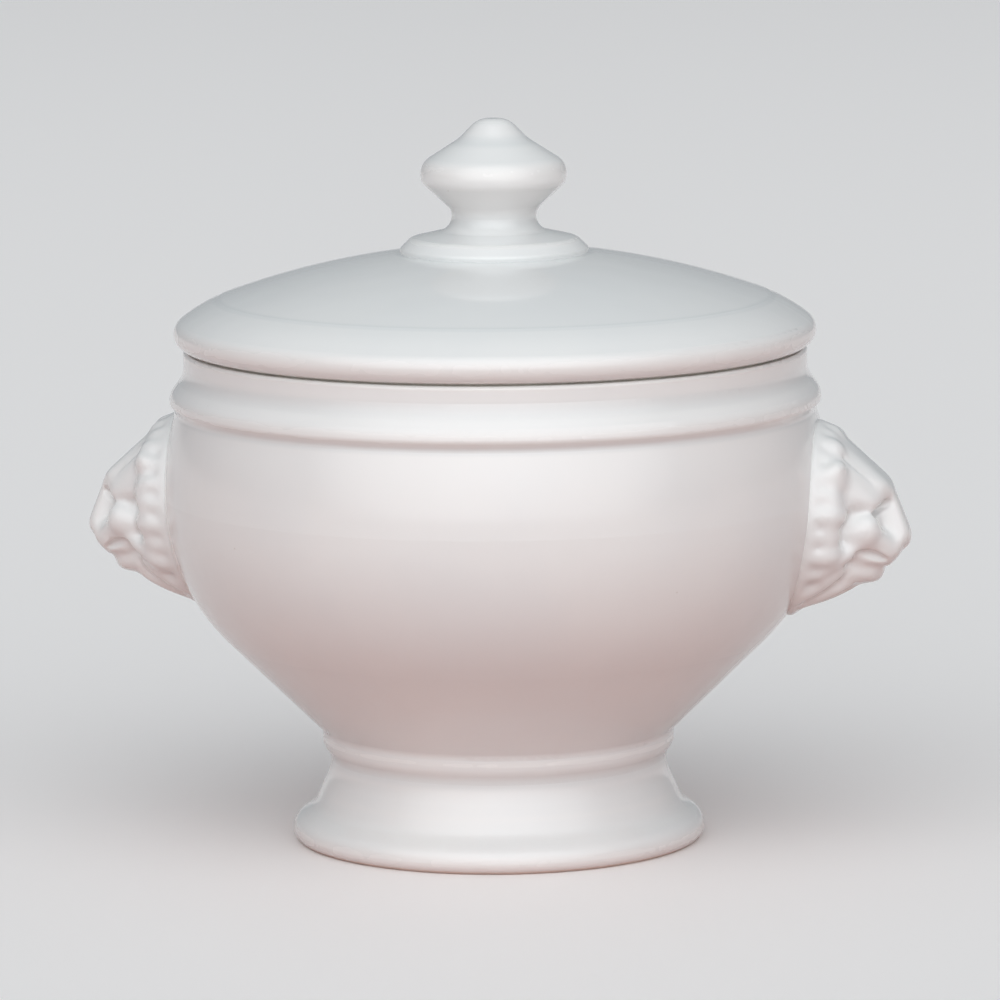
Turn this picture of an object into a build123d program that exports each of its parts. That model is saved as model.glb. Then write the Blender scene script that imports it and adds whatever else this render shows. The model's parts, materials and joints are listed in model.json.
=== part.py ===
"""Lidded porcelain soup crock on a pedestal foot, with a lion's head handle luted to each side.

The frame stands on the table: Z is up through the middle of the bowl, the origin is at the centre of
the foot's underside, and the two lion's heads look out along +X and -X.
All sizes are in millimetres.  Each RISE is measured up from the level named before it in its group.
"""

import os
from collections import namedtuple
from math import acos, atan2, cos, pi, radians, sin, sqrt, tan

from build123d import *

# Pedestal foot: a hollow flared ring, open below
FOOT_HEIGHT = 21.2
FOOT_WALL = 5.2
FOOT_SPREAD = 7.45
TOE_RISE = 2.1
TOE_UNDERCUT = 1.35
FLARE_RISE = 6.5
FLARE_SHARE = 0.52
ARRIS_RISE = 10.2
ARRIS_SHARE = 0.25
WAIST_RISE = 16.2
WAIST_DEPTH = 1.5
COLLAR_RING_DROP = 1.2
FOOT_FLAT_WIDTH = 3.8

# Bowl: a cone that swells into a round belly, a raised band and a straight neck
BOWL_HEIGHT = 76.4
BOWL_BASE_RADIUS = 34.75
BASE_RISE = 0.8
BASE_BLEND = 1.9
BELLY_RADIUS = 65.4
BELLY_RISE = 47.8
BELLY_LOWER_CURVE = 40.0
BELLY_UPPER_CURVE = 58.0
BAND_STEP = 1.05
BAND_DROP = 11.8
BAND_UNDER = 1.5
BAND_FACE = 1.6
BAND_ROUND = 1.4
BAND_CORNER = 1.2
BAND_TOP_ROUND = 4.0
NECK_SET_IN = 2.75
NECK_LENGTH = 4.85
NECK_ROUND = 5.0
RIM_WALL = 4.35
BOWL_WALL = 4.4
BOWL_FLOOR = 5.0
FLOOR_ROUND = 16.0
MOUTH_BLEND = 9.0
LIP_OUTER_ROUND = 0.7
LIP_INNER_ROUND = 1.0

# Lid: a shallow dome with a bead edge and a border, and a flange that drops into the mouth
LID_OVERHANG = 1.75
LID_BEAD_ROUND = 3.03
LID_BEAD_TURN = 52.0
LID_SEAM_GAP = 0.3
LID_SEAT_INSET = 1.85
BORDER_WIDTH = 8.7
BORDER_RISE = 10.0
BORDER_STEP = 0.3
BORDER_STEP_WIDTH = 0.6
DOME_CURVE = 158.0
LID_WALL = 4.6
FLANGE_PLAY = 0.8
FLANGE_WALL = 3.2
FLANGE_DEPTH = 5.0
FLANGE_ROUND = 1.2
FLANGE_ROOT_ROUND = 3.0

# Knob: a spread base, a cove, a bulge and a small crown
KNOB_BASE_RADIUS = 18.5
KNOB_EDGE_RISE = 0.9
KNOB_EDGE_ROUND = 0.8
KNOB_SHOULDER_RADIUS = 16.4
KNOB_SHOULDER_RISE = 2.05
KNOB_SHOULDER_ROUND = 2.6
KNOB_APRON_RISE = 1.85
KNOB_COVE_ROUND = 2.9
KNOB_NECK_RADIUS = 8.35
KNOB_NECK_RISE = 3.6
KNOB_SWELL_ROUND = 2.8
KNOB_SWELL_RISE = 5.55
KNOB_BULGE_RADIUS = 14.3
KNOB_BULGE_RISE = 3.6
KNOB_CAP_ROUND = 3.8
KNOB_CAP_RISE = 4.85
KNOB_HOLLOW_RADIUS = 6.7
KNOB_HOLLOW_ROUND = 8.0
KNOB_CROWN_RISE = 3.9
KNOB_CROWN_RADIUS = 2.9
KNOB_CROWN_ROUND = 4.5

# Lion's head: an oval collar that follows the belly, with the face reaching out of it
HEAD_BELOW_BAND = 2.6
HEAD_WIDTH = 31.0
HEAD_HEIGHT = 37.4
HEAD_REACH = 16.6
HEAD_COLLAR = 1.5
HEAD_ROOT = 9.0
MANE_LOCKS = 19
MANE_RING = 0.83
MANE_END = 43.0
MANE_LEAN = 0.35
MANE_LOCK_LENGTH = 6.4
MANE_LOCK_WIDTH = 4.7
MANE_PROUD = 0.6
RUFF_LOCKS = 11
RUFF_RING = 0.68
RUFF_LEAN = 0.6
RUFF_LOCK_LENGTH = 8.0
RUFF_LOCK_WIDTH = 4.2
RUFF_PROUD = 2.0
BEARD_LOCK_WIDTH = 4.6

# Levels of the stacked pieces
JOINT_Z = FOOT_HEIGHT
RIM_Z = JOINT_Z + BOWL_HEIGHT
WIDEST_Z = JOINT_Z + BELLY_RISE
CONE_Z = JOINT_Z + BASE_RISE
BAND_Z = RIM_Z - BAND_DROP
NECK_Z = RIM_Z - NECK_LENGTH
HEAD_Z = BAND_Z - HEAD_BELOW_BAND - HEAD_HEIGHT / 2

UPWARDS = Vector(0, 0, 1)
ROUNDED_SHARE = 0.98


def at(radius, height):
    """A point of a turned outline, in the XZ plane."""
    return Vector(radius, 0, height)


def turned(edges, roundings=()):
    """Solid of revolution about Z of a closed outline, with some of its corners rounded first."""
    face = make_face(edges)
    for corner, rounding in roundings:
        vertex = face.vertices().sort_by_distance(corner)[0]
        face = fillet(vertex, rounding)
    return revolve(face, Axis.Z)


def softened(points, roundings):
    """Edges of a run of straights with rounded corners, by less where two roundings would meet."""
    straights = [after - before for before, after in zip(points, points[1:])]
    turns = [radians(a.get_angle(b)) for a, b in zip(straights, straights[1:])]
    reaches = [rounding * tan(turn / 2) for rounding, turn in zip(roundings, turns)]
    shares = [
        min(1.0, ROUNDED_SHARE * straight.length / (before + after))
        for straight, before, after in zip(straights, [0.0, *reaches], [*reaches, 0.0])
    ]
    limited = [r * min(pair) for r, pair in zip(roundings, zip(shares, shares[1:]))]
    return FilletPolyline(*points, radius=limited).edges()


def ogee(start, end):
    """Two equal arcs that leave the start and reach the end along Z."""
    middle = (start + end) / 2
    leaving = TangentArc(start, middle, tangent=UPWARDS)
    return [leaving, TangentArc(middle, end, tangent=leaving % 1)]


# Centres of the belly's two curves, and how far down the lower one turns before it meets the cone
LOWER_CENTRE = at(BELLY_RADIUS - BELLY_LOWER_CURVE, WIDEST_Z)
UPPER_CENTRE = at(BELLY_RADIUS - BELLY_UPPER_CURVE, WIDEST_Z)
BASE_FROM_CENTRE = at(BOWL_BASE_RADIUS, CONE_Z) - LOWER_CENTRE
BASE_TURN = atan2(-BASE_FROM_CENTRE.Z, BASE_FROM_CENTRE.X)
CONE_TURN = BASE_TURN - acos(BELLY_LOWER_CURVE / BASE_FROM_CENTRE.length)


def belly_point(turn, grown):
    """Point of the lower curve, turned down from the widest level by an angle in radians."""
    reach = BELLY_LOWER_CURVE + grown
    return LOWER_CENTRE + at(reach * cos(turn), -reach * sin(turn))


def cone_radius(height, grown):
    """Radius of the cone at a height, for a surface grown outwards by some thickness."""
    top = belly_point(CONE_TURN, grown)
    return top.X - (top.Z - height) * sin(CONE_TURN) / cos(CONE_TURN)


def shoulder_height(radius, grown):
    """Height at which the upper curve has come in to a radius."""
    reach = BELLY_UPPER_CURVE + grown
    return WIDEST_Z + sqrt(reach**2 - (radius - UPPER_CENTRE.X) ** 2)


def belly_radius(height, grown=0.0):
    """Radius of the belly at any height, for a surface grown outwards by some thickness."""
    if height > WIDEST_Z:
        return UPPER_CENTRE.X + sqrt((BELLY_UPPER_CURVE + grown) ** 2 - (height - WIDEST_Z) ** 2)
    if height < belly_point(CONE_TURN, grown).Z:
        return cone_radius(height, grown)
    return LOWER_CENTRE.X + sqrt((BELLY_LOWER_CURVE + grown) ** 2 - (WIDEST_Z - height) ** 2)


# Radii that follow from the sizes above, from the toe of the foot to the edge of the lid
WAIST_RADIUS = BOWL_BASE_RADIUS - WAIST_DEPTH
TOE_RADIUS = WAIST_RADIUS + FOOT_SPREAD
FOOT_FLAT_RADIUS = TOE_RADIUS - TOE_UNDERCUT
BAND_RADIUS = belly_radius(BAND_Z) + BAND_STEP
NECK_RADIUS = BAND_RADIUS - NECK_SET_IN
MOUTH_RADIUS = NECK_RADIUS - RIM_WALL
LID_RADIUS = NECK_RADIUS + LID_OVERHANG
LID_SEAT_RADIUS = NECK_RADIUS - LID_SEAT_INSET
BORDER_RADIUS = LID_RADIUS - BORDER_WIDTH


def belly_edges(bottom, top, grown=0.0):
    """Cone, lower curve and upper curve of the belly between two heights."""
    start = at(cone_radius(bottom, grown), bottom)
    touch = belly_point(CONE_TURN, grown)
    widest = at(BELLY_RADIUS + grown, WIDEST_Z)
    cone = Line(start, touch)
    lower = TangentArc(touch, widest, tangent=cone % 1)
    upper = TangentArc(widest, at(belly_radius(top, grown), top), tangent=UPWARDS)
    return [cone, lower, upper]


def belly_solid(grown):
    """Plain solid of the belly, up to the band, grown outwards by some thickness."""
    edges = belly_edges(JOINT_Z, BAND_Z, grown)
    start, end = edges[0] @ 0, edges[-1] @ 1
    frame = Polyline(end, at(0, BAND_Z), at(0, JOINT_Z), start)
    return turned([*edges, *frame.edges()])


def make_bowl():
    """Bowl with its band, neck and flat lip, hollowed to an even wall."""
    outside = belly_edges(CONE_Z, BAND_Z)
    base_edge = at(BOWL_BASE_RADIUS, JOINT_Z)
    cone_foot = outside[0] @ 0
    under_band = outside[-1] @ 1
    band_bottom = at(BAND_RADIUS, BAND_Z + BAND_UNDER)
    band_top = band_bottom + at(0, BAND_FACE)
    neck_bottom = at(NECK_RADIUS, NECK_Z)
    lip_outer = at(NECK_RADIUS, RIM_Z)
    lip_inner = at(MOUTH_RADIUS, RIM_Z)
    floor_z = JOINT_Z + BOWL_FLOOR
    mouth_z = shoulder_height(MOUTH_RADIUS, -BOWL_WALL)
    inside = belly_edges(floor_z, mouth_z, -BOWL_WALL)
    mouth_bottom = inside[-1] @ 1
    floor_edge = inside[0] @ 0
    edges = [
        *outside,
        *softened(
            [under_band, band_bottom, band_top, neck_bottom, lip_outer, lip_inner, mouth_bottom],
            [BAND_ROUND, BAND_TOP_ROUND, NECK_ROUND, LIP_OUTER_ROUND, LIP_INNER_ROUND],
        ),
        *inside,
        *Polyline(floor_edge, at(0, floor_z), at(0, JOINT_Z), base_edge, cone_foot).edges(),
    ]
    return turned(edges, [
        (cone_foot, BASE_BLEND),
        (under_band, BAND_CORNER),
        (mouth_bottom, MOUTH_BLEND),
        (floor_edge, FLOOR_ROUND),
    ])


def make_foot():
    """Hollow pedestal: toe, flare, waist and collar ring outside, and an even wall inside."""
    toe = at(TOE_RADIUS, TOE_RISE)
    flare = at(WAIST_RADIUS + FLARE_SHARE * FOOT_SPREAD, FLARE_RISE)
    arris = at(WAIST_RADIUS + ARRIS_SHARE * FOOT_SPREAD, ARRIS_RISE)
    waist = at(WAIST_RADIUS, WAIST_RISE)
    ring = at(BOWL_BASE_RADIUS, JOINT_Z - COLLAR_RING_DROP)
    ring_top = at(BOWL_BASE_RADIUS, JOINT_Z)
    flat_outer = at(FOOT_FLAT_RADIUS, 0)
    flat_inner = at(FOOT_FLAT_RADIUS - FOOT_FLAT_WIDTH, 0)
    bore_top = at(WAIST_RADIUS - FOOT_WALL, JOINT_Z)
    bore_waist = at(WAIST_RADIUS - FOOT_WALL, WAIST_RISE)
    toe_round = TangentArc(toe, flat_outer, tangent=-UPWARDS)
    stem = Spline(toe, flare, arris, waist, tangents=[UPWARDS, UPWARDS])
    edges = [
        toe_round,
        stem,
        *ogee(waist, ring),
        *Polyline(ring, ring_top, bore_top, bore_waist).edges(),
        *ogee(flat_inner, bore_waist),
        Line(flat_inner, flat_outer),
    ]
    return turned(edges)


def dome_height(radius, grown=0.0):
    """Height of the lid's dome at a radius, for a surface grown upwards by some thickness."""
    centre_z = RIM_Z + BORDER_RISE - sqrt(DOME_CURVE**2 - BORDER_RADIUS**2)
    return centre_z + sqrt((DOME_CURVE + grown) ** 2 - radius**2)


def dome_arc(inner_radius, outer_radius, grown=0.0):
    """Arc of the dome between two radii."""
    middle = (inner_radius + outer_radius) / 2
    points = [at(r, dome_height(r, grown)) for r in (inner_radius, middle, outer_radius)]
    return ThreePointArc(*points)


KNOB_SEAT_Z = dome_height(KNOB_BASE_RADIUS)


def make_lid():
    """Domed lid with a bead edge, a stepped border, a seat and a locating flange."""
    flange_outer = MOUTH_RADIUS - FLANGE_PLAY
    flange_inner = flange_outer - FLANGE_WALL
    flange_z = RIM_Z - FLANGE_DEPTH
    bead_z = RIM_Z + LID_SEAM_GAP + LID_BEAD_ROUND
    bead_centre = at(LID_RADIUS - LID_BEAD_ROUND, bead_z)
    turn = radians(LID_BEAD_TURN)
    bead_low = bead_centre + at(0, -LID_BEAD_ROUND)
    bead_side = bead_centre + at(LID_BEAD_ROUND, 0)
    bead_high = bead_centre + at(LID_BEAD_ROUND * cos(turn), LID_BEAD_ROUND * sin(turn))
    border = at(BORDER_RADIUS + BORDER_STEP_WIDTH, RIM_Z + BORDER_RISE - BORDER_STEP)
    crease = at(BORDER_RADIUS, dome_height(BORDER_RADIUS))
    seat_outer = at(LID_SEAT_RADIUS, RIM_Z)
    seat_inner = at(flange_outer, RIM_Z)
    flange_low_outer = at(flange_outer, flange_z)
    flange_low_inner = at(flange_inner, flange_z)
    flange_root = at(flange_inner, dome_height(flange_inner, -LID_WALL))
    knob_seat = at(KNOB_BASE_RADIUS, KNOB_SEAT_Z)
    bead = ThreePointArc(bead_low, bead_side, bead_high)
    edges = [
        dome_arc(0, flange_inner, -LID_WALL),
        *Polyline(flange_root, flange_low_inner, flange_low_outer, seat_inner, seat_outer, bead_low).edges(),
        bead,
        TangentArc(bead_high, border, tangent=bead % 1),
        Line(border, crease),
        dome_arc(KNOB_BASE_RADIUS, BORDER_RADIUS),
        *Polyline(knob_seat, at(0, KNOB_SEAT_Z), at(0, dome_height(0, -LID_WALL))).edges(),
    ]
    return turned(edges, [
        (flange_root, FLANGE_ROOT_ROUND),
        (flange_low_inner, FLANGE_ROUND),
        (flange_low_outer, FLANGE_ROUND),
    ])


def make_knob():
    """Turned finial that sits on the flat at the top of the dome."""
    corners = [
        (KNOB_BASE_RADIUS, KNOB_EDGE_RISE, KNOB_EDGE_ROUND),
        (KNOB_SHOULDER_RADIUS, KNOB_SHOULDER_RISE, KNOB_SHOULDER_ROUND),
        (KNOB_NECK_RADIUS, KNOB_APRON_RISE, KNOB_COVE_ROUND),
        (KNOB_NECK_RADIUS, KNOB_NECK_RISE, KNOB_SWELL_ROUND),
        (KNOB_BULGE_RADIUS, KNOB_SWELL_RISE, KNOB_SWELL_ROUND),
        (KNOB_BULGE_RADIUS, KNOB_BULGE_RISE, KNOB_CAP_ROUND),
        (KNOB_HOLLOW_RADIUS, KNOB_CAP_RISE, KNOB_HOLLOW_ROUND),
        (KNOB_CROWN_RADIUS, KNOB_CROWN_RISE, KNOB_CROWN_ROUND),
    ]
    level = KNOB_SEAT_Z
    points = [at(KNOB_BASE_RADIUS, level)]
    for radius, rise, rounding in corners:
        level += rise
        points.append(at(radius, level))
    points.append(at(0, level))
    outside = softened(points, [rounding for radius, rise, rounding in corners])
    return turned([*outside, *Polyline(points[-1], at(0, KNOB_SEAT_Z), points[0]).edges()])


# A lump of the sculpted head: its place out of the belly, sideways and up, and its half sizes,
# as shares of the head's reach, half width and half height, and its nod downwards in degrees.
Lump = namedtuple("Lump", "out side up half_out half_side half_up nod")

MIDDLE_LUMPS = {
    "crest": Lump(0.22, 0.00, 0.66, 0.62, 0.20, 0.16, 40),
    "forehead": Lump(0.40, 0.00, 0.34, 0.36, 0.40, 0.28, 35),
    "nose_bridge": Lump(0.73, 0.00, 0.02, 0.15, 0.17, 0.36, -14),
    "nose_tip": Lump(0.86, 0.00, -0.24, 0.14, 0.18, 0.11, 10),
    "chin": Lump(0.50, 0.00, -0.58, 0.22, 0.28, 0.14, -20),
}
PAIRED_LUMPS = {
    "brow": Lump(0.58, 0.26, 0.24, 0.24, 0.25, 0.13, 30),
    "muzzle": Lump(0.68, 0.20, -0.34, 0.24, 0.22, 0.17, 15),
    "cheek": Lump(0.34, 0.50, -0.13, 0.27, 0.26, 0.20, 0),
    "whisker_pad": Lump(0.50, 0.34, -0.28, 0.36, 0.17, 0.11, 12),
    "jaw": Lump(0.22, 0.32, -0.58, 0.42, 0.26, 0.16, -32),
    "ear": Lump(0.12, 0.60, 0.52, 0.20, 0.20, 0.17, 30),
}
CUTS = {
    "socket": Lump(0.84, 0.33, 0.09, 0.24, 0.18, 0.085, 20),
    "mouth_corner": Lump(0.62, 0.40, -0.45, 0.24, 0.16, 0.055, 16),
}
MOUTH = Lump(0.80, 0.00, -0.50, 0.26, 0.34, 0.045, 25)
EYE = Lump(0.66, 0.30, 0.09, 0.12, 0.11, 0.075, 0)

# Sections of the skull: how far out, then the top, the bottom and the half width there
SkullSection = namedtuple("SkullSection", "out top bottom side")
SKULL = (
    SkullSection(0.00, 0.93, -0.86, 0.84),
    SkullSection(0.20, 0.76, -0.78, 0.76),
    SkullSection(0.45, 0.54, -0.70, 0.60),
    SkullSection(0.66, 0.36, -0.56, 0.44),
    SkullSection(0.80, 0.16, -0.44, 0.30),
    SkullSection(0.88, -0.04, -0.34, 0.14),
)

# Long locks that sweep back under the jaw: start and end, each as out, side and up shares
BEARD_LOCKS = (
    ((0.18, 0.74, -0.30), (-0.26, 0.66, -0.72)),
    ((0.24, 0.52, -0.60), (-0.30, 0.46, -0.90)),
    ((0.30, 0.18, -0.72), (-0.36, 0.16, -0.96)),
)


def head_point(out, side, up):
    """Point of the head that looks along +X, from shares of its reach, half width and half height."""
    return Vector(BELLY_RADIUS + out * HEAD_REACH, side * HEAD_WIDTH / 2, HEAD_Z + up * HEAD_HEIGHT / 2)


def facing_plane(out, up):
    """Plane across the head that looks along +X, with its own X sideways and its own Y up."""
    return Plane(origin=head_point(out, 0, up), x_dir=(0, 1, 0), z_dir=(1, 0, 0))


def make_lump(lump, hand=1):
    """Ellipsoid of one lump, on the left or right of the face by the sign of hand."""
    half_sizes = (
        lump.half_out * HEAD_REACH,
        lump.half_side * HEAD_WIDTH / 2,
        lump.half_up * HEAD_HEIGHT / 2,
    )
    place = head_point(lump.out, lump.side * hand, lump.up)
    return Pos(place) * Rot(0, lump.nod, 0) * scale(Sphere(1), by=half_sizes)


def spheroid(centre, direction, length, width):
    """Rounded lock of hair: an ellipse turned about its length."""
    with BuildSketch(Plane.XZ) as section:
        Ellipse(width / 2, length / 2)
        Rectangle(width, length, align=(Align.MAX, Align.CENTER), mode=Mode.SUBTRACT)
    return Plane(origin=centre, z_dir=direction) * revolve(section.sketch, Axis.Z)


def seat_out(side, up, grown):
    """Distance along X of the belly's surface, grown by some thickness, at a place on the head."""
    place = head_point(0, side, up)
    return sqrt(belly_radius(place.Z, grown) ** 2 - place.Y**2)


def mane_lock(turn, ring, lean, length, width, proud):
    """One lock of the mane, at an angle round the face on an oval that is a share of the collar."""
    side, up = ring * cos(turn), ring * sin(turn)
    place = head_point(0, side, up)
    centre = Vector(seat_out(side, up, HEAD_COLLAR) + proud, place.Y, place.Z)
    direction = Vector(lean, cos(turn), sin(turn))
    return spheroid(centre, direction, length, width)


def make_collar():
    """Oval pad that follows the belly and carries the head."""
    plane = facing_plane(-HEAD_ROOT / HEAD_REACH, 0)
    prism = extrude(plane * Ellipse(HEAD_WIDTH / 2, HEAD_HEIGHT / 2), HEAD_ROOT + HEAD_REACH)
    return prism & belly_solid(HEAD_COLLAR)


def make_skull():
    """Tapering core of the head, lofted from inside the belly to the muzzle."""
    sections = []
    root = SKULL[0]._replace(out=-HEAD_ROOT / HEAD_REACH)
    for section in (root, *SKULL):
        middle = (section.top + section.bottom) / 2
        half = (section.top - section.bottom) / 2
        plane = facing_plane(section.out, middle)
        sections.append(plane * Ellipse(section.side * HEAD_WIDTH / 2, half * HEAD_HEIGHT / 2))
    return loft(sections)


def make_mane():
    """Two rings of locks: a beaded mane on the collar and a ruff that leans in to the face."""
    locks = []
    mane_end = radians(MANE_END)
    for lock in range(MANE_LOCKS):
        turn = -mane_end + (pi + 2 * mane_end) * lock / (MANE_LOCKS - 1)
        locks.append(mane_lock(turn, MANE_RING, MANE_LEAN, MANE_LOCK_LENGTH, MANE_LOCK_WIDTH, MANE_PROUD))
    for lock in range(RUFF_LOCKS):
        turn = pi * lock / (RUFF_LOCKS - 1)
        locks.append(mane_lock(turn, RUFF_RING, -RUFF_LEAN, RUFF_LOCK_LENGTH, RUFF_LOCK_WIDTH, RUFF_PROUD))
    for start, end in BEARD_LOCKS:
        for hand in (1, -1):
            tip = head_point(start[0], start[1] * hand, start[2])
            root = head_point(end[0], end[1] * hand, end[2])
            length = (tip - root).length + BEARD_LOCK_WIDTH
            locks.append(spheroid((tip + root) / 2, tip - root, length, BEARD_LOCK_WIDTH))
    return locks


def make_head():
    """Lion's head that looks along +X, cut to the belly that it is luted to."""
    core = make_collar() + make_skull()
    lumps = [make_lump(lump) for lump in MIDDLE_LUMPS.values()]
    lumps += [make_lump(lump, hand) for lump in PAIRED_LUMPS.values() for hand in (1, -1)]
    cuts = [make_lump(lump, hand) for lump in CUTS.values() for hand in (1, -1)]
    eyes = [make_lump(EYE, hand) for hand in (1, -1)]
    head = core.fuse(*lumps, *make_mane())
    head = head.cut(*cuts, make_lump(MOUTH))
    head = head.fuse(*eyes)
    return head - belly_solid(0.0)


def main():
    os.makedirs("parts", exist_ok=True)
    lion = make_head()
    pieces = {
        "foot": make_foot(),
        "bowl": make_bowl(),
        "right_lion_head": lion,
        "left_lion_head": Rot(0, 0, 180) * lion,
        "lid": make_lid(),
        "lid_knob": make_knob(),
    }
    for name, piece in pieces.items():
        export_step(piece, f"parts/{name}.step")
        print(name, "volume", round(piece.volume), "solids", len(piece.solids()))


main()
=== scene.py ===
# %% [markdown]
# # A lidded soup crock in white porcelain
# The crock has a round bowl on a flared foot, a lion's head on each side to carry it by, and a domed lid
# with a turned knob. It was cast in porcelain, joined with slip, dipped in a clear glaze and fired.
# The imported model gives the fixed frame: metres, Z up, the front towards -Y. The turned pieces keep the
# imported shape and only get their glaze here. The heads are modelled again, as soft clay under glaze.

import json
from math import copysign, cos, hypot, pi, radians, sin, sqrt

import bmesh
import bpy
from mathutils import Matrix, Vector

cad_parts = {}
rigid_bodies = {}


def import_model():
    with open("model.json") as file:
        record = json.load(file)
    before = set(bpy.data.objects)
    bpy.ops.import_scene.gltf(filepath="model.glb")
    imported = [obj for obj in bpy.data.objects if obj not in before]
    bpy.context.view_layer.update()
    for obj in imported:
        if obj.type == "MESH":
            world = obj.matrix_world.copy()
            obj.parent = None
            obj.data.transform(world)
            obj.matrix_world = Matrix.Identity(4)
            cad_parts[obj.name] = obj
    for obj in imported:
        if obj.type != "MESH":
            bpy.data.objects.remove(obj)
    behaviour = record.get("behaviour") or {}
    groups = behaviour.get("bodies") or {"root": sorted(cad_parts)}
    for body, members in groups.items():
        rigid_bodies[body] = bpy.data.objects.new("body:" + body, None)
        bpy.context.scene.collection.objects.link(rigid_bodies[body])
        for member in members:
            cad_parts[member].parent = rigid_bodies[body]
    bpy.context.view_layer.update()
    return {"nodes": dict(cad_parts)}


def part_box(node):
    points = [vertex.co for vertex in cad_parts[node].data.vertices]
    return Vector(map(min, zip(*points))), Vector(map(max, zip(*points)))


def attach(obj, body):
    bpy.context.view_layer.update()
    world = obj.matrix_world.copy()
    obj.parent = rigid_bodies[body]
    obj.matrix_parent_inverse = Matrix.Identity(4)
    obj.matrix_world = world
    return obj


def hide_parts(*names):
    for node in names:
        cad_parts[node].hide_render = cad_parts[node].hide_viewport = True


MM = 0.001
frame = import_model()
nodes = frame["nodes"]

# %% [markdown]
# ## The main sizes, in millimetres
# The glaze gathers in creases, where the materials also paint shade, and runs thin over edges, so the
# materials need to know where those are.
# The heights and radii below repeat the part's own. The belly is two arcs that meet where it is widest.

# %% Sizes of the turned pieces
RIM_Z = 97.6
BELLY_RADIUS = 65.4
BELLY_Z = 69.0
BELLY_LOWER_CURVE = 40.0
BELLY_UPPER_CURVE = 58.0
HEAD_Z = 64.5


def belly_radius(z):
    """Radius of the belly's outside at a height."""
    curve = BELLY_UPPER_CURVE if z > BELLY_Z else BELLY_LOWER_CURVE
    return BELLY_RADIUS - curve + sqrt(curve**2 - (z - BELLY_Z) ** 2)


print("belly radius at the heads, mm:", round(belly_radius(HEAD_Z), 2))

# %% [markdown]
# ## Shader sums as Python
# A glaze is a handful of masks added and multiplied. Placing every Math node by hand hides the idea, so a
# small class wraps a socket: an operator on it adds the Math node, and one method adds any other node.

# %% A socket that can be added and multiplied


class Wire:
    """An output socket. Arithmetic on it adds Math nodes to its node tree."""

    def __init__(self, tree, socket=None):
        self.tree = tree
        self.socket = socket

    def node(self, kind, settings=None, sockets=None, output=0):
        """Adds a node: first its settings, then values or wires for its sockets."""
        made = self.tree.nodes.new(kind)
        for name, value in (settings or {}).items():
            setattr(made, name, value)
        for key, value in (sockets or {}).items():
            if isinstance(value, Wire):
                self.tree.links.new(value.socket, made.inputs[key])
            else:
                made.inputs[key].default_value = value
        return Wire(self.tree, made.outputs[output])

    def sum(self, operation, first, second=0.0):
        return self.node("ShaderNodeMath", {"operation": operation}, {0: first, 1: second})

    def __add__(self, other):
        return self.sum("ADD", self, other)

    def __sub__(self, other):
        return self.sum("SUBTRACT", self, other)

    def __rsub__(self, other):
        return self.sum("SUBTRACT", other, self)

    def __mul__(self, other):
        return self.sum("MULTIPLY", self, other)

    def __pow__(self, other):
        return self.sum("POWER", self, other)

    __radd__ = __add__
    __rmul__ = __mul__


print("operators on a wire: + - * **")

# %% [markdown]
# ## Masks
# Three helpers carry the glaze. One fades a value in between two limits. One lays a colour over another
# through a mask. One is bright near a ring round the axis, given by its radius and height, because every
# crease and edge of a turned piece is such a ring.

# %% Fades, tints and rings


def fade(value, start, end):
    """0 before start and 1 after end, with a smooth turn between."""
    return value.node(
        "ShaderNodeMapRange",
        {"interpolation_type": "SMOOTHSTEP"},
        {"Value": value, "From Min": start, "From Max": end},
    )


def tinted(mask, under, over):
    """Colour over, laid on colour under where the mask is 1."""
    return mask.node("ShaderNodeMix", {"data_type": "RGBA"}, {0: mask, 6: under, 7: over}, output=2)


def near_ring(radius, height, ring_radius, ring_height, reach):
    """1 on a ring round the axis, fading to 0 at a distance of reach, all in millimetres."""
    across = radius - ring_radius
    along = height - ring_height
    return 1 - fade((across * across + along * along) ** 0.5, 0.0, reach)


print("masks: fade, tinted, near_ring")

# %% [markdown]
# ## White porcelain under a clear glaze
# The body is a neutral white. The glaze over it is never quite even: it clouds slowly across the piece,
# darkens to a little cool grey in creases, partly from glaze pooled there and partly as painted shade,
# and lets the warmer body through on edges. A few faint specks of iron lie in it, its surface waves
# slightly, and at a finer scale it has the dimples of orange peel.
# The shine is a clear coat over a duller body, so that wide and sharp reflections mix as on real glaze.
# Where the crock stands, and where lid and bowl touch in the kiln, the glaze was wiped off: there the bare
# body shows, matt and a little creamy.

# %% Colours of the glaze
BODY = (0.80, 0.803, 0.79, 1)
CLOUD = (0.765, 0.775, 0.77, 1)
# cool grey of creases and hollows: partly pooled glaze, partly painted shade
POOLED_AND_SHADE = (0.665, 0.69, 0.69, 1)
THIN = (0.82, 0.812, 0.792, 1)
SPECK = (0.42, 0.36, 0.29, 1)
BARE = (0.76, 0.73, 0.67, 1)
BARE_DUST = (0.62, 0.585, 0.53, 1)
print("colours of the glaze:", BODY[:3], "bare body:", BARE[:3])

# %% The glaze itself
GLOSS = 0.24
GLOSS_SPREAD = 0.10
BARE_ROUGHNESS = 0.72
COAT_ROUGHNESS = 0.07
COAT_WEIGHT = 0.85
GLAZE_IOR = 1.5
CLOUD_SIZE = 34.0
SPECK_SPACING = 7.0
DUST_SIZE = 5.0
GLOSS_SIZE = 9.0
WAVE_SIZE, WAVE_HEIGHT = 17.0, 0.16
PEEL_SIZE, PEEL_HEIGHT = 1.6, 0.006
GRAIN_SIZE, GRAIN_HEIGHT = 0.5, 0.03
SPECK_DEPTH = 0.03


def noise(place, size, detail=3.0):
    """Soft noise with features of about that size, in millimetres, from 0 to 1."""
    sockets = {"Vector": place, "Scale": 1 / (size * MM), "Detail": detail, "Roughness": 0.5}
    return place.node("ShaderNodeTexNoise", None, sockets)


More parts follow.
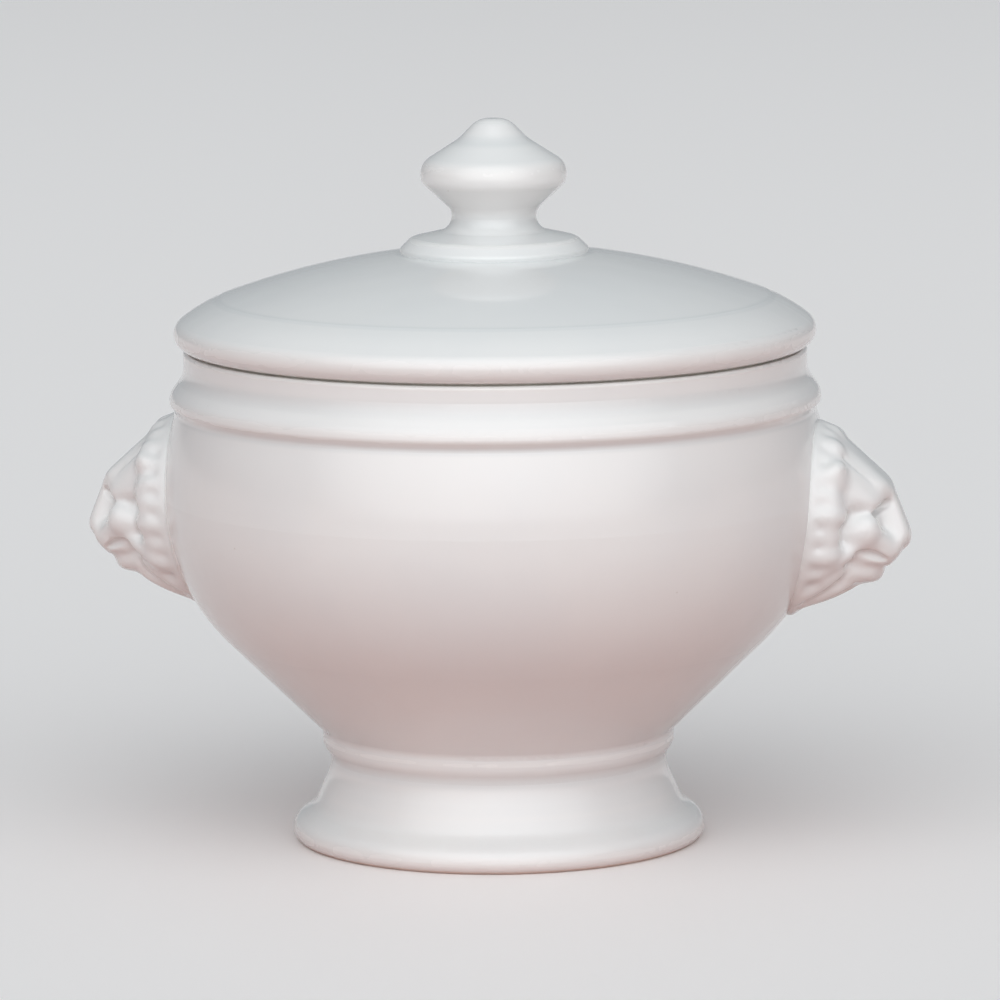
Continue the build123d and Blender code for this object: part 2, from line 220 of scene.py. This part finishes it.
def glaze(name, marks):
    """Porcelain material. marks(place, radius, height) gives the pooled glaze and painted shade, thin and
    bare masks of a piece.
    """
    material = bpy.data.materials.new(name)
    material.use_nodes = True
    tree = material.node_tree
    shader = tree.nodes["Principled BSDF"]
    place = Wire(tree).node("ShaderNodeTexCoord", output="Object")
    split = place.node("ShaderNodeSeparateXYZ", None, {0: place})
    side, depth, up = (Wire(tree, socket) for socket in split.socket.node.outputs)
    radius = (side * side + depth * depth) ** 0.5 * (1 / MM)
    height = up * (1 / MM)
    pooled_and_shade, thin, bare = marks(place, radius, height)

    cloud = fade(noise(place, CLOUD_SIZE), 0.35, 0.7)
    cells = place.node("ShaderNodeTexVoronoi", None, {"Vector": place, "Scale": 1 / (SPECK_SPACING * MM)})
    chance = Wire(tree, cells.socket.node.outputs["Color"])
    chosen = fade(chance.node("ShaderNodeSeparateColor", None, {0: chance}), 0.86, 0.87)
    speck = (1 - fade(cells, 0.012, 0.03)) * chosen * 0.5
    dust = fade(noise(place, DUST_SIZE, 6.0), 0.45, 0.75) * 0.6

    colour = tinted(cloud * 0.8, BODY, CLOUD)
    # painted shade: creases and hollows are tinted cool grey, partly for the glaze pooled there and partly
    # for the shade that falls there
    colour = tinted(pooled_and_shade * 0.5, colour, POOLED_AND_SHADE)
    colour = tinted(thin * 0.6, colour, THIN)
    colour = tinted(speck, colour, SPECK)
    colour = tinted(bare, colour, tinted(dust, BARE, BARE_DUST))
    tree.links.new(colour.socket, shader.inputs["Base Color"])

    gloss = GLOSS + GLOSS_SPREAD * (noise(place, GLOSS_SIZE) - 0.5) - 0.06 * pooled_and_shade + 0.04 * thin
    roughness = gloss + (BARE_ROUGHNESS - GLOSS) * bare
    tree.links.new(roughness.socket, shader.inputs["Roughness"])
    tree.links.new((COAT_WEIGHT - COAT_WEIGHT * bare).socket, shader.inputs["Coat Weight"])
    shader.inputs["Coat Roughness"].default_value = COAT_ROUGHNESS
    shader.inputs["IOR"].default_value = GLAZE_IOR

    wave = noise(place, WAVE_SIZE, 1.0) * WAVE_HEIGHT
    peel = noise(place, PEEL_SIZE, 2.0) * PEEL_HEIGHT
    grain = noise(place, GRAIN_SIZE, 4.0) * bare * GRAIN_HEIGHT
    relief = wave + peel + grain - SPECK_DEPTH * speck
    bump = relief.node("ShaderNodeBump", None, {"Strength": 1.0, "Distance": MM, "Height": relief})
    tree.links.new(bump.socket, shader.inputs["Normal"])
    return material


print("glaze ready, coat roughness", COAT_ROUGHNESS)

# %% [markdown]
# ## Where the glaze gathers, with painted shade, where it thins and where it stops
# Each turned piece lists its rings as radius, height and reach. Creases pool the glaze and are darkened as
# painted shade, edges thin it, and the bare places are the foot's standing ring and the two faces where lid
# and bowl touch.

# %% Rings of each turned piece
# creases: pooled glaze and painted shade, tinted a darker cool grey
CREASES = {
    "bowl": [(63.0, 85.5, 1.4), (61.3, 92.8, 3.0)],
    "foot": [(33.3, 16.4, 2.2)],
    "lid": [(54.4, 107.7, 1.6), (18.7, 116.3, 1.4), (52.8, 97.4, 3.0)],
    "lid_knob": [(18.6, 116.3, 1.2), (8.4, 122.6, 3.0), (7.0, 138.2, 3.0)],
}
EDGES = {
    "bowl": [(63.9, 88.0, 2.0), (61.1, 97.4, 1.3), (57.0, 97.4, 1.3)],
    "foot": [(40.6, 2.1, 2.2), (36.0, 10.2, 1.5), (34.7, 20.4, 1.0)],
    "lid": [(62.9, 100.9, 3.0), (54.0, 108.4, 1.0), (56.0, 93.0, 1.4)],
    "lid_knob": [(16.4, 118.9, 1.4), (14.3, 133.0, 2.6), (2.2, 142.2, 2.4)],
}
FOOT_BARE_TOP = 0.5
BARE_TURN = 0.25
SEAT_INNER, SEAT_OUTER = 57.6, 60.4
SEAT_TURN = 0.5
SEAT_HALF = 0.35
SEAT_CORE = 0.1


def any_ring(rings, radius, height):
    """The mask of several rings, added and held to 1."""
    total = None
    for ring_radius, ring_height, reach in rings:
        ring = near_ring(radius, height, ring_radius, ring_height, reach)
        total = ring if total is None else total + ring
    return fade(total, 0.0, 1.0)


def turned_marks(piece):
    """The masks of a turned piece, for glaze()."""

    def marks(place, radius, height):
        pooled_and_shade = any_ring(CREASES[piece], radius, height)
        thin = any_ring(EDGES[piece], radius, height)
        standing = 1 - fade(height, FOOT_BARE_TOP, FOOT_BARE_TOP + BARE_TURN)
        outwards = fade(radius, SEAT_INNER, SEAT_INNER + SEAT_TURN)
        seat = outwards * (1 - fade(radius, SEAT_OUTER - SEAT_TURN, SEAT_OUTER))
        upwards = fade(height, RIM_Z - SEAT_HALF, RIM_Z - SEAT_CORE)
        touch = upwards * (1 - fade(height, RIM_Z + SEAT_CORE, RIM_Z + SEAT_HALF))
        bare = {"foot": standing, "bowl": seat * touch, "lid": seat * touch}.get(piece, standing * 0.0)
        return pooled_and_shade, thin, bare

    return marks


for piece in CREASES:
    nodes[piece].data.materials.clear()
    nodes[piece].data.materials.append(glaze(piece + "_glaze", turned_marks(piece)))
    print("glazed", piece, "with", len(CREASES[piece]), "creases and", len(EDGES[piece]), "edges")

# %% [markdown]
# ## The lion's head in clay
# A carved head is soft masses run into each other, so it is built as a modeller builds it: eggs of clay
# for skull, face and cheeks, wedges for the planes of crown, temples, nose and jaw, tapering rolls for the
# locks of the mane, then one skin over all of them. In Blender the eggs are icospheres in one bmesh, a
# wedge is the convex hull of a few balls, which gives flat planes with round corners, and the skin is a
# voxel remesh. Cutting a solid block would need far more steps for the same softness.
# Places are in millimetres from the point of the belly behind the head: out, to the side and up.

# %% Lumps, rolls and wedges of clay
HEAD_HALF_WIDTH = 15.5
HEAD_HALF_HEIGHT = 18.7
COLLAR_THICK = 1.7


def both_sides(side):
    """The hands a lump is made for: one on the middle line, or one on each side of it."""
    return (1, -1) if side else (1,)


def lump(clay, middle, half, nod=0.0, turn=0.0):
    """Adds an egg of clay, nodding downwards and turning towards its own side, in degrees."""
    out, side, up = middle
    for hand in both_sides(side):
        place = Matrix.Translation((out, side * hand, up))
        place = place @ Matrix.Rotation(radians(turn * hand), 4, "Z") @ Matrix.Rotation(radians(nod), 4, "Y")
        bmesh.ops.create_icosphere(
            clay, subdivisions=4, radius=1, matrix=place @ Matrix.Diagonal((*half, 1))
        )


def roll(clay, path, thick, pair=True, beads=16):
    """Adds a tapering roll of clay from a root past a bend to a tip."""
    root, bend, tip = (Vector(point) for point in path)
    for hand in (1, -1) if pair else (1,):
        for bead in range(beads + 1):
            t = bead / beads
            shares = ((1 - t) ** 2, 2 * t * (1 - t), t * t)
            spot = root * shares[0] + bend * shares[1] + tip * shares[2]
            size = sum(share * value for share, value in zip(shares, thick))
            bmesh.ops.create_icosphere(
                clay, subdivisions=2, radius=size, matrix=Matrix.Translation((spot.x, spot.y * hand, spot.z))
            )


def wedge(clay, balls, apart=False):
    """Adds the hull of balls given as out, side, up and radius: one right across the face, or one a side."""
    for hands in ((1,), (-1,)) if apart else ((1, -1),):
        block = bmesh.new()
        for out, side, up, size in balls:
            for hand in hands:
                bmesh.ops.create_icosphere(
                    block, subdivisions=2, radius=size, matrix=Matrix.Translation((out, side * hand, up))
                )
        bmesh.ops.delete(block, geom=block.edges[:] + block.faces[:], context="EDGES_FACES")
        hull = bmesh.ops.convex_hull(block, input=block.verts[:])
        bmesh.ops.delete(block, geom=hull["geom_interior"], context="VERTS")
        mesh = bpy.data.meshes.new("wedge")
        block.to_mesh(mesh)
        block.free()
        clay.from_mesh(mesh)
        bpy.data.meshes.remove(mesh)


def on_belly(side, up, lift):
    """The point a given way out from the belly's surface, in the head's own places."""
    belly = belly_radius(HEAD_Z + up)
    return Vector((sqrt(belly**2 - side**2) - BELLY_RADIUS + lift, side, up))


print("clay tools: lump, roll, wedge")

# %% [markdown]
# ## Plate, skull and face
# The head stands on an oval plate that follows the belly. It starts as a sphere whose sides are squared
# and then laid on the belly's surface. The masses of the face follow the profile in the photo: a flat
# crown that slopes at about 45 degrees, a heavy brow, a steep nose, a full cheek and a short jaw. The
# photo shows no face from the front, so the widths are those of a plain lion's mask.

# %% Plate and masses
SQUARENESS = 0.35
MASSES = [
    # skull, face, cheek, wing of the nose, ear: middle (out, side, up), half sizes, nod, turn
    ((-1.5, 0, 0.5), (8.4, 12.4, 15.2), 0, 0),
    ((3.2, 0, -1.0), (8.2, 9.4, 10.4), 0, 0),
    ((7.9, 6.9, -1.3), (3.3, 3.2, 3.6), 20, 30),
    ((13.9, 2.5, -3.5), (1.7, 1.5, 1.3), 10, 20),
    ((2.6, 10.0, 9.8), (2.2, 2.7, 2.7), 30, 25),
]
CROWN = [
    # out, side, up, radius
    (-4.0, 6.0, 15.6, 1.7),
    (1.8, 0.0, 13.8, 2.2),
    (2.0, 4.6, 13.8, 1.7),
    (6.9, 1.6, 9.0, 2.0),
    (10.6, 3.3, 6.2, 1.9),
    (11.7, 1.4, 4.9, 1.7),
    (-3.0, 6.0, 4.0, 3.0),
]
TEMPLE = [
    (10.3, 3.8, 5.2, 1.7),
    (8.8, 6.0, 3.9, 2.0),
    (3.8, 8.6, 5.0, 2.1),
    (1.6, 8.4, 11.2, 2.0),
    (2.2, 5.6, 13.0, 1.7),
    (3.0, 4.0, 4.0, 2.0),
]
NOSE = [
    (12.3, 1.1, 4.2, 1.3),
    (14.4, 1.5, -2.6, 1.9),
    (14.4, 0.0, -3.6, 2.2),
    (8.6, 1.4, 3.4, 1.6),
    (9.6, 2.0, -3.0, 2.0),
]
MUZZLE = [
    (12.6, 2.6, -5.0, 2.3),
    (11.1, 1.8, -7.2, 2.0),
    (10.2, 4.6, -5.9, 2.2),
    (6.6, 5.4, -6.0, 2.2),
    (6.0, 3.0, -7.6, 2.0),
]
CHEEK = [
    (12.2, 3.4, -4.8, 2.0),
    (7.0, 7.4, -1.2, 3.0),
    (6.2, 7.6, -2.6, 2.6),
    (4.0, 6.0, -2.0, 4.0),
]
JAW = [
    (9.0, 0.8, -9.9, 2.2),
    (7.9, 3.2, -9.4, 2.3),
    (4.2, 5.4, -9.0, 2.5),
    (0.0, 4.0, -10.0, 2.8),
]
ROLLS = [
    # edge of the crown, line of the jaw
    ([(10.6, 4.0, 6.5), (6.2, 4.9, 9.7), (-0.8, 6.0, 14.8)], (1.5, 1.6, 1.6)),
    ([(6.2, 8.0, -4.2), (4.2, 9.8, -5.8), (-0.6, 11.4, -8.6)], (1.7, 1.9, 1.6)),
]


def add_plate(clay):
    """The oval plate, squared at its rim and bent round the belly."""
    for vert in bmesh.ops.create_icosphere(clay, subdivisions=5, radius=1)["verts"]:
        across = max(hypot(vert.co.y, vert.co.z), 1e-6)
        spread = across**SQUARENESS / across
        lift = copysign(abs(vert.co.x) ** SQUARENESS, vert.co.x) * COLLAR_THICK
        vert.co = on_belly(vert.co.y * spread * HEAD_HALF_WIDTH, vert.co.z * spread * HEAD_HALF_HEIGHT, lift)


WHOLE_WEDGES = (CROWN, NOSE, MUZZLE, JAW)
SIDE_WEDGES = (TEMPLE, CHEEK)
clay = bmesh.new()
add_plate(clay)
for middle, half, nod, turn in MASSES:
    lump(clay, middle, half, nod, turn)
for balls in WHOLE_WEDGES:
    wedge(clay, balls)
for balls in SIDE_WEDGES:
    wedge(clay, balls, apart=True)
for path, thick in ROLLS:
    roll(clay, path, thick)
print("face:", len(MASSES), "masses,", len(WHOLE_WEDGES) + len(SIDE_WEDGES), "wedges,", len(ROLLS), "rolls")

# %% [markdown]
# ## Mane and beard
# Short fat locks stand round the face from jaw to jaw, just inside the rim of the plate, on a bed that
# fills the gaps between them. Long ones sweep back under the jaw. Casting and glaze have rounded them, so
# they are thick, shallow rolls, a little uneven in size by a fixed wave.

# %% Locks
MANE_LOCKS = 19
MANE_START = -32.0
LOCK_BEADS = 10
BED_THICK = 2.2
BED_BEADS = 6
BEARD = [
    ([(2.6, 8.4, -8.6), (0.0, 9.4, -10.8), (-5.4, 8.4, -14.2)], (1.8, 2.2, 1.5)),
    ([(4.2, 5.0, -10.9), (0.8, 6.2, -13.0), (-6.6, 4.8, -16.0)], (1.8, 2.1, 1.5)),
    ([(5.2, 1.5, -11.4), (1.2, 1.9, -13.8), (-7.0, 1.6, -16.4)], (1.7, 2.0, 1.5)),
]


def ring_point(share, turn, lift):
    """Point on the plate's oval, at a share of its size, lifted off the belly."""
    return on_belly(share * HEAD_HALF_WIDTH * cos(turn), share * HEAD_HALF_HEIGHT * sin(turn), lift)


lock_step = radians((180 - 2 * MANE_START) / (MANE_LOCKS - 1))
for number in range(MANE_LOCKS):
    turn = radians(MANE_START) + lock_step * number
    low = 0.55 * (1 - abs(cos(turn)))
    inner = 0.72 + 0.08 * sin(2.4 * number)
    fat = 1 + 0.2 * sin(3 * number + 1)
    root = ring_point(0.87, turn, 0.4)
    bend = ring_point(0.82, turn + 0.04, (3.8 - 2.8 * low) * fat)
    tip = ring_point(inner, turn + 0.08 * cos(4 * number), 3.8 - 2.2 * low)
    roll(clay, [root, bend, tip], (2.0, 2.9 * fat, 1.9), pair=False, beads=LOCK_BEADS)
    bed = [ring_point(0.8, turn + lock_step * share, 2.9 - 2.6 * low) for share in (-0.5, 0, 0.5)]
    roll(clay, bed, (BED_THICK, BED_THICK, BED_THICK), pair=False, beads=BED_BEADS)
for path, thick in BEARD:
    roll(clay, path, thick)
print("mane:", MANE_LOCKS, "locks, beard:", 2 * len(BEARD))

# %% [markdown]
# ## One skin, then the cuts
# A voxel remesh closes all lumps into one skin, and smoothing melts them together as glaze does. The eye
# sockets, nostrils, mouth and the hollows of ears and cheeks are cut by a second set of lumps with a
# Boolean, and the eyes are set in afterwards, before a last skin and a last smoothing.

# %% Skin, cutting and smoothing
VOXEL = 0.32
MELT_ROUNDS = 24
LAST_MELT_ROUNDS = 5
CUTS = [
    # mouth, nostril, hollow of the ear
    ((11.6, 0, -9.0), (2.2, 4.2, 0.4), 28, 0),
    ((15.5, 1.5, -5.1), (1.0, 0.6, 0.5), 0, 30),
    ((5.4, 11.3, 10.4), (1.0, 1.4, 1.4), 30, 25),
]
CUT_ROLLS = [
    # eye socket in two strokes, hollow under the cheek, groove behind it, back of the jaw,
    # then beside and along the crown
    ([(12.6, 3.2, 3.2), (10.8, 4.5, 1.8), (8.6, 7.2, 1.1)], (0.9, 1.9, 0.7)),
    ([(12.6, 2.9, 3.7), (9.6, 3.5, 2.1), (8.0, 4.9, 1.4)], (0.8, 1.4, 0.8)),
    ([(12.0, 4.8, -7.2), (9.4, 7.4, -5.2), (6.4, 9.0, -5.6)], (0.5, 1.5, 0.7)),
    ([(7.0, 9.4, 3.8), (5.4, 11.6, 1.2), (5.2, 11.2, -2.7)], (0.7, 1.3, 0.7)),
    ([(6.6, 8.2, -6.2), (5.6, 8.2, -9.0), (2.6, 7.4, -12.6)], (0.6, 1.1, 0.7)),
    ([(9.8, 5.9, 7.2), (7.0, 6.8, 10.0), (3.2, 7.6, 13.2)], (0.4, 0.6, 0.5)),
    ([(13.4, 0.0, 6.6), (9.4, 0.0, 12.0), (5.6, 0.0, 15.4)], (0.5, 1.3, 0.4)),
]
EYE = ((7.8, 4.6, 0.2), (1.6, 1.7, 1.3), 20, 10)


def skinned(lumps):
    """Mesh of one skin round all the lumps of a bmesh, which is freed."""
    mesh = bpy.data.meshes.new("clay")
    lumps.to_mesh(mesh)
    lumps.free()
    block = bpy.data.objects.new("clay", mesh)
    bpy.context.scene.collection.objects.link(block)
    skin = block.modifiers.new("skin", "REMESH")
    skin.mode = "VOXEL"
    skin.voxel_size = VOXEL
    return baked(block)


def baked(block):
    """Mesh of an object with its modifiers applied; the object is removed."""
    graph = bpy.context.evaluated_depsgraph_get()
    mesh = bpy.data.meshes.new_from_object(block.evaluated_get(graph))
    bpy.data.objects.remove(block)
    return mesh


def melted(mesh, rounds):
    """The mesh as a bmesh, smoothed a number of times."""
    soft = bmesh.new()
    soft.from_mesh(mesh)
    for _ in range(rounds):
        bmesh.ops.smooth_vert(
            soft, verts=soft.verts, factor=0.5, use_axis_x=True, use_axis_y=True, use_axis_z=True
        )
    return soft


def cut_away(mesh, tool_mesh):
    """The mesh with the tool's space cut out of it."""
    block, tool = (bpy.data.objects.new("cutting", shape) for shape in (mesh, tool_mesh))
    for shape in (block, tool):
        bpy.context.scene.collection.objects.link(shape)
    cut = block.modifiers.new("cut", "BOOLEAN")
    cut.operation = "DIFFERENCE"
    cut.solver = "MANIFOLD"
    cut.object = tool
    result = baked(block)
    bpy.data.objects.remove(tool)
    return result


soft = melted(skinned(clay), MELT_ROUNDS)
soft_mesh = bpy.data.meshes.new("soft_clay")
soft.to_mesh(soft_mesh)
soft.free()
knife = bmesh.new()
for middle, half, nod, turn in CUTS:
    lump(knife, middle, half, nod, turn)
for path, thick in CUT_ROLLS:
    roll(knife, path, thick, pair=path[0][1] != 0)
face = bmesh.new()
face.from_mesh(cut_away(soft_mesh, skinned(knife)))
lump(face, *EYE)
head = melted(skinned(face), LAST_MELT_ROUNDS)
print("head skin:", len(head.verts), "points")

# %% [markdown]
# ## Set the head against the belly
# What lies inside the bowl is pushed out to just under the belly's surface, so that the back of the head
# follows the bowl and the joint stays a crisp line. The head is then fitted to the box of its CAD node.
# Hollows are measured too: how far a point lies under a smoother copy says how much glaze gathers there
# and how dark the painted shade there is.

# %% Fit, hollows and objects
SINK = 0.35
NOSE_PLAY = 0.03
HOLLOW_ROUNDS = 14


def fit_to_node(shape, node):
    """Stretches the head a little so that it fills its node's box from nose to jaw."""
    low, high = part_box(node)
    reach = max(vert.co.x for vert in shape.verts)
    tall = max(vert.co.z for vert in shape.verts), min(vert.co.z for vert in shape.verts)
    wide = max(vert.co.y for vert in shape.verts)
    want_reach = high.x / MM - BELLY_RADIUS - NOSE_PLAY
    stretch = (want_reach / reach, high.y / MM / wide, (high.z - low.z) / MM / (tall[0] - tall[1]))
    bmesh.ops.scale(shape, vec=Vector(stretch), verts=shape.verts)
    return [round(value, 3) for value in stretch]


def seat_on_belly(shape):
    """Moves the head into the crock's frame and its back to just under the belly's surface."""
    bmesh.ops.translate(shape, vec=Vector((BELLY_RADIUS, 0, HEAD_Z)), verts=shape.verts)
    for vert in shape.verts:
        radius = hypot(vert.co.x, vert.co.y)
        inside = belly_radius(vert.co.z) - SINK
        if radius < inside:
            vert.co.x *= inside / radius
            vert.co.y *= inside / radius


def note_hollows(shape):
    """Writes each point's depth under a smoother copy, in millimetres, to the layer hollow."""
    layer = shape.verts.layers.float.new("hollow")
    smoother = shape.copy()
    for _ in range(HOLLOW_ROUNDS):
        bmesh.ops.smooth_vert(
            smoother, verts=smoother.verts, factor=0.5, use_axis_x=True, use_axis_y=True, use_axis_z=True
        )
    shape.normal_update()
    for vert, smooth in zip(shape.verts, smoother.verts):
        vert[layer] = (smooth.co - vert.co).dot(vert.normal)
    smoother.free()


print("stretch to the node's box:", fit_to_node(head, "right_lion_head"))
seat_on_belly(head)
note_hollows(head)
bmesh.ops.recalc_face_normals(head, faces=head.faces)
for quad in head.faces:
    quad.smooth = True
bmesh.ops.scale(head, vec=Vector((MM, MM, MM)), verts=head.verts)


def head_marks(place, radius, height):
    """The masks of a head: pooled glaze and painted shade in hollows, thin on ridges, nowhere bare."""
    hollow = place.node("ShaderNodeAttribute", {"attribute_name": "hollow"}, output="Fac")
    # painted shade with pooled glaze: the deeper a hollow, the darker grey it is tinted
    pooled_and_shade = fade(hollow, 0.02, 0.30)
    thin = fade(hollow * -1.0, 0.03, 0.22)
    return pooled_and_shade, thin, pooled_and_shade * 0.0


head_glaze = glaze("lion_head_glaze", head_marks)
for node, half_turns in (("right_lion_head", 0), ("left_lion_head", 1)):
    mesh = bpy.data.meshes.new(node + "_glazed")
    head.to_mesh(mesh)
    mesh.transform(Matrix.Rotation(pi * half_turns, 4, "Z"))
    mesh.materials.append(head_glaze)
    lion = bpy.data.objects.new(node + "_glazed", mesh)
    bpy.context.scene.collection.objects.link(lion)
    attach(lion, "crock")
    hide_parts(node)
    print(lion.name, len(mesh.polygons), "faces")
head.free()

# %% [markdown]
# ## Floor
# The crock stands on a plain pale floor, large enough to fill the picture, so no horizon shows.
# In the photo a red table throws a warm light up on the belly. Here the camera, and the glaze as a mirror,
# see the floor pale, while the light that the floor throws back is tinted rose. Light Path tells the rays
# apart, so the two can differ without a second floor.

# %% Floor
FLOOR_HALF = 6.0
FLOOR_ROUGHNESS = 0.6
FLOOR_SEEN = (0.95, 0.92, 0.905, 1)
FLOOR_BOUNCE = (0.50, 0.23, 0.19, 1)
ground = bmesh.new()
bmesh.ops.create_grid(ground, x_segments=1, y_segments=1, size=FLOOR_HALF)
floor_mesh = bpy.data.meshes.new("floor")
ground.to_mesh(floor_mesh)
ground.free()
floor = bpy.data.objects.new("floor", floor_mesh)
bpy.context.scene.collection.objects.link(floor)
paint = bpy.data.materials.new("floor_paint")
paint.use_nodes = True
paint_shader = paint.node_tree.nodes["Principled BSDF"]
paint_shader.inputs["Roughness"].default_value = FLOOR_ROUGHNESS
seen = Wire(paint.node_tree).node("ShaderNodeLightPath", output="Is Camera Ray")
rays = seen.socket.node.outputs
for kind in ("Is Glossy Ray", "Is Transmission Ray"):
    seen = seen + Wire(paint.node_tree, rays[kind])
shown = tinted(seen, FLOOR_BOUNCE, FLOOR_SEEN)
paint.node_tree.links.new(shown.socket, paint_shader.inputs["Base Color"])
floor_mesh.materials.append(paint)
print("floor half size, m:", FLOOR_HALF)

# %% [markdown]
# ## Light
# One very large round lamp stands in front, above and a little to the right, in the tint of daylight. Its
# light fades towards the rim, so that the glaze mirrors a soft glow and no lamp's edge. A weak world light
# fills the shadows, so the white stays below clipping and its colour can be read.

# %% Lamp and world
AIM = Vector((0, 0, 0.067))
DAYLIGHT = (0.96, 0.985, 1.0)
SKY = (0.91, 0.96, 1.0, 1)
SKY_STRENGTH = 0.42


def point_at(thing, spot, target):
    """Puts a lamp or camera at a spot, looking at a target."""
    thing.location = spot
    thing.rotation_euler = (target - spot).to_track_quat("-Z", "Y").to_euler()


def around(azimuth, elevation, distance):
    """A spot seen from the crock: azimuth to the right of the front, elevation above the horizon."""
    turn, rise = radians(azimuth), radians(elevation)
    return AIM + distance * Vector((sin(turn) * cos(rise), -cos(turn) * cos(rise), sin(rise)))


def soft_lamp(name, azimuth, elevation, distance, wide, spread, power):
    """A round area lamp, aimed at the crock and fading towards its rim, so that no edge is mirrored."""
    lamp = bpy.data.lights.new(name, "AREA")
    lamp.shape = "DISK"
    lamp.size = wide
    lamp.spread = radians(spread)
    lamp.energy = power
    lamp.color = DAYLIGHT
    holder = bpy.data.objects.new(name, lamp)
    bpy.context.scene.collection.objects.link(holder)
    point_at(holder, around(azimuth, elevation, distance), AIM)
    print(name, "at", [round(value, 2) for value in holder.location], "power", power)


soft_lamp(
    "front_lamp", azimuth=8.0, elevation=24.0, distance=2.5, wide=12.0, spread=130.0, power=302.0
)
sky = bpy.data.worlds.new("studio")
bpy.context.scene.world = sky
sky.use_nodes = True
sky_light = sky.node_tree.nodes["Background"]
sky_light.inputs["Color"].default_value = SKY
sky_light.inputs["Strength"].default_value = SKY_STRENGTH
print("world strength:", SKY_STRENGTH)

# %% [markdown]
# ## Camera
# The photo was taken from a little above the lid's rim and slightly to the right, from far away with a
# long lens, and the picture leans by about half a degree. The camera repeats that.

# %% Camera
CAMERA_AZIMUTH = radians(9.0)
CAMERA_DISTANCE = 1.25
CAMERA_HEIGHT = 0.255
LENS = 231.0
LEAN = -0.5
CAMERA_AIM = Vector((0.0007, 0.0001, 0.067))

eye = bpy.data.cameras.new("camera")
eye.lens = LENS
eye.sensor_width = 36.0
camera = bpy.data.objects.new("camera", eye)
bpy.context.scene.collection.objects.link(camera)
aside, back = sin(CAMERA_AZIMUTH) * CAMERA_DISTANCE, cos(CAMERA_AZIMUTH) * CAMERA_DISTANCE
spot = Vector((aside, -back, CAMERA_HEIGHT))
point_at(camera, spot, CAMERA_AIM)
camera.rotation_euler.rotate_axis("Z", radians(LEAN))
bpy.context.scene.camera = camera
bpy.context.scene.view_settings.view_transform = "Standard"
print("camera at", [round(value, 3) for value in camera.location])
